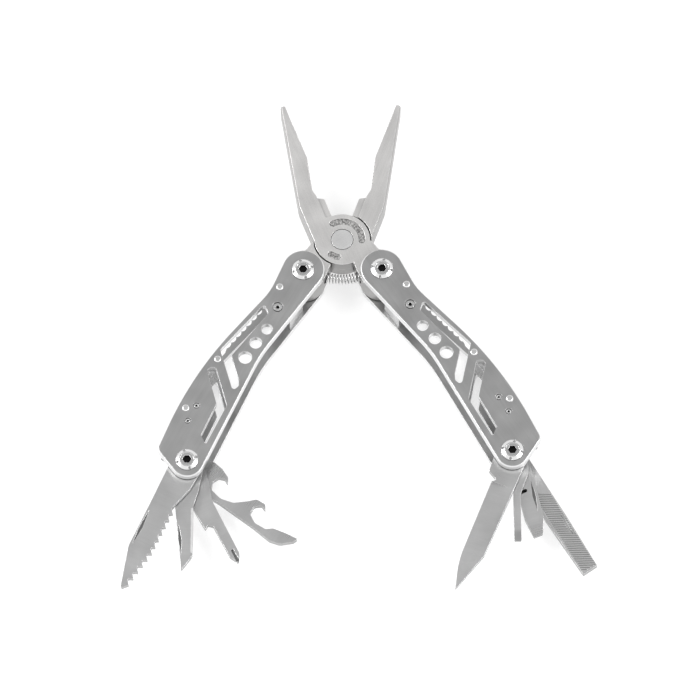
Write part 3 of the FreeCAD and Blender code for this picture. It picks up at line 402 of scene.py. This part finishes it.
def tube(name, path, radius):
    """Smooth round tube along a path; the ring around each point starts in the direction given there."""
    sides = 8
    points = [point for point, _ in path]
    last = len(points) - 1
    vertices = []
    for number, (point, out) in enumerate(path):
        along = (points[min(number + 1, last)] - points[max(number - 1, 0)]).normalized()
        first = (out - along * out.dot(along)).normalized()
        second = along.cross(first)
        for corner in range(sides):
            turn = 2 * math.pi * corner / sides
            vertices.append(point + (first * math.cos(turn) + second * math.sin(turn)) * radius)
    faces = []
    for ring in range(last):
        for corner in range(sides):
            follower = (corner + 1) % sides
            faces.append((ring * sides + corner, (ring + 1) * sides + corner,
                          (ring + 1) * sides + follower, ring * sides + follower))
    faces.append(tuple(range(sides)))
    faces.append(tuple(last * sides + corner for corner in reversed(range(sides))))
    mesh = bpy.data.meshes.new(name)
    mesh.from_pydata([tuple(vertex) for vertex in vertices], [], faces)
    for polygon in mesh.polygons:
        polygon.use_smooth = True
    piece = bpy.data.objects.new(name, mesh)
    bpy.context.scene.collection.objects.link(piece)
    return piece


def jaw_spring():
    """Smooth coil in place of the CAD's spring, its turns set on an arc between the two jaw halves."""
    spring = tube("jaw_spring_coil", spring_path(), SPRING_WIRE_RADIUS)
    # The wire gets painted shade in its tight corners.
    wire = steel("spring_wire", grey(0.62), 0.22, 0.0, brush=0.2, wear=0.3, crevice_shade=0.9)
    spring.data.materials.append(wire)
    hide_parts("jaw_spring")
    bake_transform(spring)


# ---------------------------------------------------------------- materials of the CAD nodes

def dress(node, material):
    """Give a CAD node one material."""
    piece = frame["nodes"][node]
    piece.data.materials.clear()
    piece.data.materials.append(material)


def dress_head():
    """Blasted jaws, brushed along each jaw, and a plain rivet."""
    along = math.pi / 2
    lean = 0.37
    # Jaws and rivet: painted shade on bevels and side walls, and in tight corners.
    jaw = {"brush": 0.35, "wear": 0.3, "cast": 0.45, "crevice_shade": 0.7, "wall_sheen": 0.0, "shade": 0.6}
    for node, angle, relief in (
            ("front_jaw", along + lean, stamped_recess),
            ("rear_jaw", along - lean, None)):
        dress(f"{node}_half", steel(f"{node}_steel", grey(0.86, 0.012), 0.34, angle, relief=relief, **jaw))
    rivet = steel("jaw_rivet_steel", grey(0.86), 0.36, 0.6, brush=0.3, wear=0.0, cast=0.4, crevice_shade=1.0,
                  wall_sheen=0.0, shade=0.9)
    dress("jaw_rivet", rivet)


def dress_handle(side):
    """Brushed grey plates with a painted sheen on their walls, and shinier fasteners, leaves and springs."""
    angle = handle_angle(side)
    # Plates: a painted sheen on their walls; all these steels get painted shade in tight corners.
    plate = steel(f"{side}_plate_steel", grey(0.47), 0.36, angle, brush=0.35, wear=0.9, crevice_shade=0.3, wall_sheen=1.0)
    strip = steel(f"{side}_strip_steel", grey(0.58), 0.25, angle, brush=0.4, wear=0.5, crevice_shade=0.8)
    leaves = steel(f"{side}_leaf_steel", grey(0.52), 0.35, angle, brush=0.6, wear=0.6, crevice_shade=0.8)
    rivets = steel(f"{side}_rivet_steel", grey(0.92), 0.22, angle, brush=0.1, wear=0.3, crevice_shade=0.6)
    axles = [pivot(f"{side}_handle_fold"), pivot(f"{TOOLS[side][0]}_fold")]
    head_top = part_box(f"{side}_head_pivot_barrel")[1].z - RIVET.z
    # Pivots: a painted sheen on their walls, and painted shade in tight corners and in their sockets.
    turned = steel(f"{side}_pivot_steel", grey(0.7), 0.22, angle, brush=0.15, wear=0.6, crevice_shade=1.0, wall_sheen=1.0,
                   relief=socket_shade(axles, 1.8 * MM, head_top))
    for material, names in (
            (plate, ("front_plate", "rear_plate")),
            (strip, ("front_lock_spring", "rear_lock_spring", "front_detent_spring", "rear_detent_spring")),
            (leaves, ("spacer_block", "head_washers", "tool_washers")),
            (rivets, ("dome_rivets", "spacer_pins")),
            (turned, ("head_pivot_barrel", "head_pivot_screw", "tool_pivot_barrel", "tool_pivot_screw"))):
        for name in names:
            dress(f"{side}_{name}", material)
    for name in ("socket_screws", "tiny_screws"):
        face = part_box(f"{side}_{name}")[1].z - RIVET.z
        # Screws: painted shade in their sockets and tight corners.
        screw = steel(f"{side}_{name}_steel", grey(0.7), 0.3, angle, brush=0.2, wear=0.4, crevice_shade=0.8,
                      relief=shade_below_face(face))
        dress(f"{side}_{name}", screw)


def dress_tools(side):
    """Tools ground across their length, with painted shade on their side walls and on the floors of their
    hollows, the file with its cuts.
    """
    for tool in TOOLS[side]:
        along = tool_angle(side, tool)
        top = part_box(tool)[1].z
        relief = file_cuts(top, along) if tool == "file" else floor_shade(top)
        # Painted shade on side walls, in tight corners and on sunken floors.
        ground = steel(f"{tool}_steel", grey(0.66), 0.30, along + math.pi / 2, brush=0.2, wear=0.2, crevice_shade=0.5,
                       wall_sheen=0.0, shade=0.5, relief=relief)
        dress(tool, ground)


# ---------------------------------------------------------------- floor, light and camera

def floor_material():
    """White light table: it glows evenly, so a shadow on it is only faint."""
    shader = Shader("light_table")
    clouds = shader.noise(shader.place(), scale=6.0, detail=2.0)
    paper = shader.mix(clouds, grey(0.48), grey(0.50))
    shader.link(paper, shader.surface.inputs["Base Color"])
    shader.link(paper, shader.surface.inputs["Emission Color"])
    shader.surface.inputs["Emission Strength"].default_value = 1.15
    shader.surface.inputs["Roughness"].default_value = 0.9
    shader.surface.inputs["Specular IOR Level"].default_value = 0.1
    return shader.material


def floor():
    """Large square just under the lowest screw heads."""
    half = 3.0
    height = CAD_BOX[0].z - 0.05 * MM
    corners = [(x * half, y * half, height) for x, y in ((-1, -1), (1, -1), (1, 1), (-1, 1))]
    mesh = bpy.data.meshes.new("floor")
    mesh.from_pydata(corners, [], [(0, 1, 2, 3)])
    piece = bpy.data.objects.new("floor", mesh)
    piece.data.materials.append(floor_material())
    bpy.context.scene.collection.objects.link(piece)


def sky():
    """White studio all round, with a grey card overhead that the flat steel faces reflect.

    card_edge and card_core are cosines of the angle from the card's middle, between which it fades in.
    """
    card_direction = (0.0, 0.407, 0.914)
    card_edge = 0.62
    card_core = 0.97
    studio_glow = 1.15
    card_glow = 0.52
    world = bpy.data.worlds.new("studio")
    bpy.context.scene.world = world
    world.use_nodes = True
    tree = world.node_tree
    tree.nodes.clear()
    direction = tree.nodes.new("ShaderNodeTexCoord")
    dot = tree.nodes.new("ShaderNodeVectorMath")
    dot.operation = "DOT_PRODUCT"
    dot.inputs[1].default_value = card_direction
    tree.links.new(direction.outputs["Generated"], dot.inputs[0])
    ramp = tree.nodes.new("ShaderNodeMapRange")
    ramp.interpolation_type = "SMOOTHSTEP"
    for number, value in enumerate((card_edge, card_core, studio_glow, card_glow), start=1):
        ramp.inputs[number].default_value = value
    tree.links.new(dot.outputs["Value"], ramp.inputs[0])
    background = tree.nodes.new("ShaderNodeBackground")
    background.inputs["Color"].default_value = grey(1.0)
    tree.links.new(ramp.outputs["Result"], background.inputs["Strength"])
    output = tree.nodes.new("ShaderNodeOutputWorld")
    tree.links.new(background.outputs[0], output.inputs["Surface"])


def softbox(name, place, size, power):
    """Square area light aimed at the middle of the tool."""
    data = bpy.data.lights.new(name, "AREA")
    data.shape = "SQUARE"
    data.size = size
    data.energy = power
    light = bpy.data.objects.new(name, data)
    light.location = place
    light.rotation_mode = "QUATERNION"
    light.rotation_quaternion = (-Vector(place)).to_track_quat("-Z", "Y")
    bpy.context.scene.collection.objects.link(light)


def camera():
    """Looks down at the whole tool from far off in front, so that there is next to no perspective."""
    elevation = math.radians(66.0)
    distance = 3.0
    roll = math.radians(-0.7)
    target = RIVET + Vector((2.5 * MM, -44.8 * MM, 0.0))
    back = Vector((0.0, -math.cos(elevation), math.sin(elevation)))
    data = bpy.data.cameras.new("camera")
    data.sensor_width = 36.0
    data.lens = 401.0
    made = bpy.data.objects.new("camera", data)
    made.location = target + back * distance
    made.rotation_mode = "QUATERNION"
    aim = (-back).to_track_quat("-Z", "Y")
    made.rotation_quaternion = aim @ Matrix.Rotation(roll, 4, "Z").to_quaternion()
    bpy.context.scene.collection.objects.link(made)
    bpy.context.scene.camera = made


jaw_spring()
dress_head()
for side in SIDES:
    dress_handle(side)
    dress_tools(side)
floor()
sky()
softbox("left_light", (-0.9, 0.2, 0.8), 0.6, 9.0)
softbox("right_light", (0.9, -0.1, 0.9), 0.6, 7.0)
camera()
bpy.context.scene.view_settings.view_transform = "Standard"
